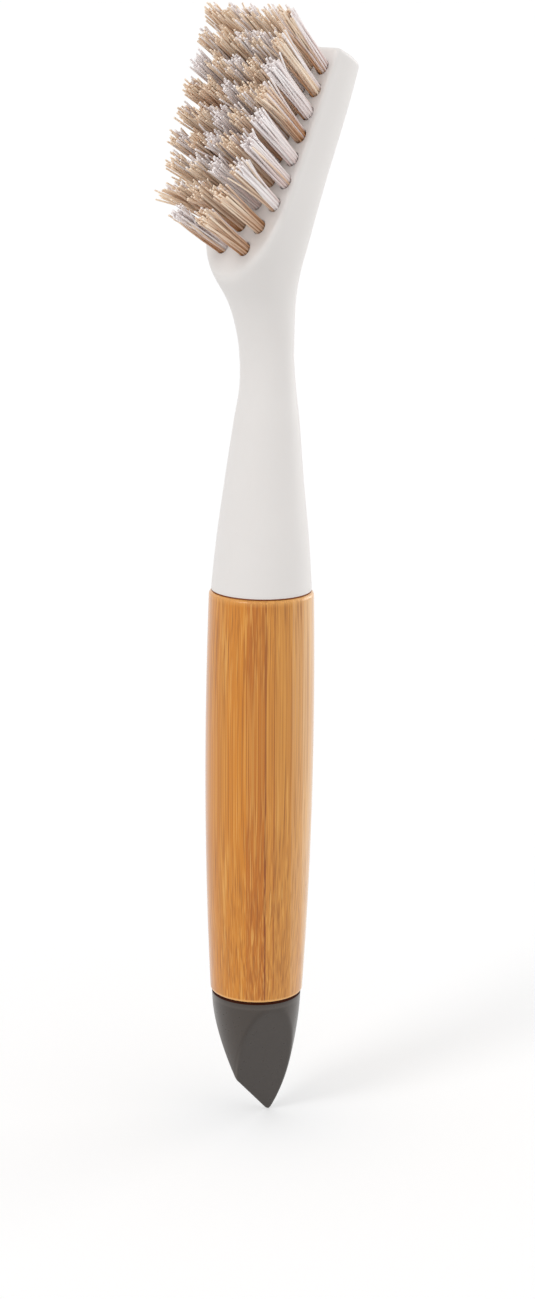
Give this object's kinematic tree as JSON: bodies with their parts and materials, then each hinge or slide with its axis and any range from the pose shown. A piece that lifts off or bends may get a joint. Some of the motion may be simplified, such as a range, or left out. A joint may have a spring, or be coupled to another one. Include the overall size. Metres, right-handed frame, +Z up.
{
  "type": "crevice brush",
  "caption": "Slim hand brush for crevices: slanted bristle head on a necked stem, barrel grip, wedge scraper tip",
  "frame": {"origin": "on the axis of the bamboo grip, at the middle of its length", "axes": "+Z up along the grip towards the head, bristles towards -Y, +X across the head"},
  "size_m": [0.0209, 0.0357, 0.2051],
  "materials": {
    "white_plastic": "satin moulded",
    "bamboo": "oiled, fine sanded",
    "grey_plastic": "satin moulded",
    "bristle": "mixed tan and white filaments"
  },
  "bodies": {
    "root": {"brush_head": "white_plastic", "bamboo_handle": "bamboo", "scraper_tip": "grey_plastic", "tuft_r1_c1": "bristle", "tuft_r1_c2": "bristle", "tuft_r1_c3": "bristle", "tuft_r1_c4": "bristle", "tuft_r1_c5": "bristle", "tuft_r2_c1": "bristle", "tuft_r2_c2": "bristle", "tuft_r2_c3": "bristle", "tuft_r2_c4": "bristle", "tuft_r2_c5": "bristle", "tuft_r3_c1": "bristle", "tuft_r3_c2": "bristle", "tuft_r3_c3": "bristle", "tuft_r3_c4": "bristle", "tuft_r3_c5": "bristle", "tuft_r4_c1": "bristle", "tuft_r4_c2": "bristle", "tuft_r4_c3": "bristle", "tuft_r4_c4": "bristle", "tuft_r4_c5": "bristle", "tuft_r5_c1": "bristle", "tuft_r5_c2": "bristle", "tuft_r5_c3": "bristle", "tuft_r5_c4": "bristle", "tuft_r5_c5": "bristle", "tuft_r6_c1": "bristle", "tuft_r6_c2": "bristle", "tuft_r6_c3": "bristle", "tuft_r6_c4": "bristle", "tuft_r6_c5": "bristle", "tuft_r7_c1": "bristle", "tuft_r7_c2": "bristle", "tuft_r7_c3": "bristle", "tuft_r7_c4": "bristle", "tuft_r8_c1": "bristle", "tuft_r8_c2": "bristle", "tuft_r8_c3": "bristle", "tuft_r9_c1": "bristle", "tuft_r9_c2": "bristle"}
  },
  "joints": []
}
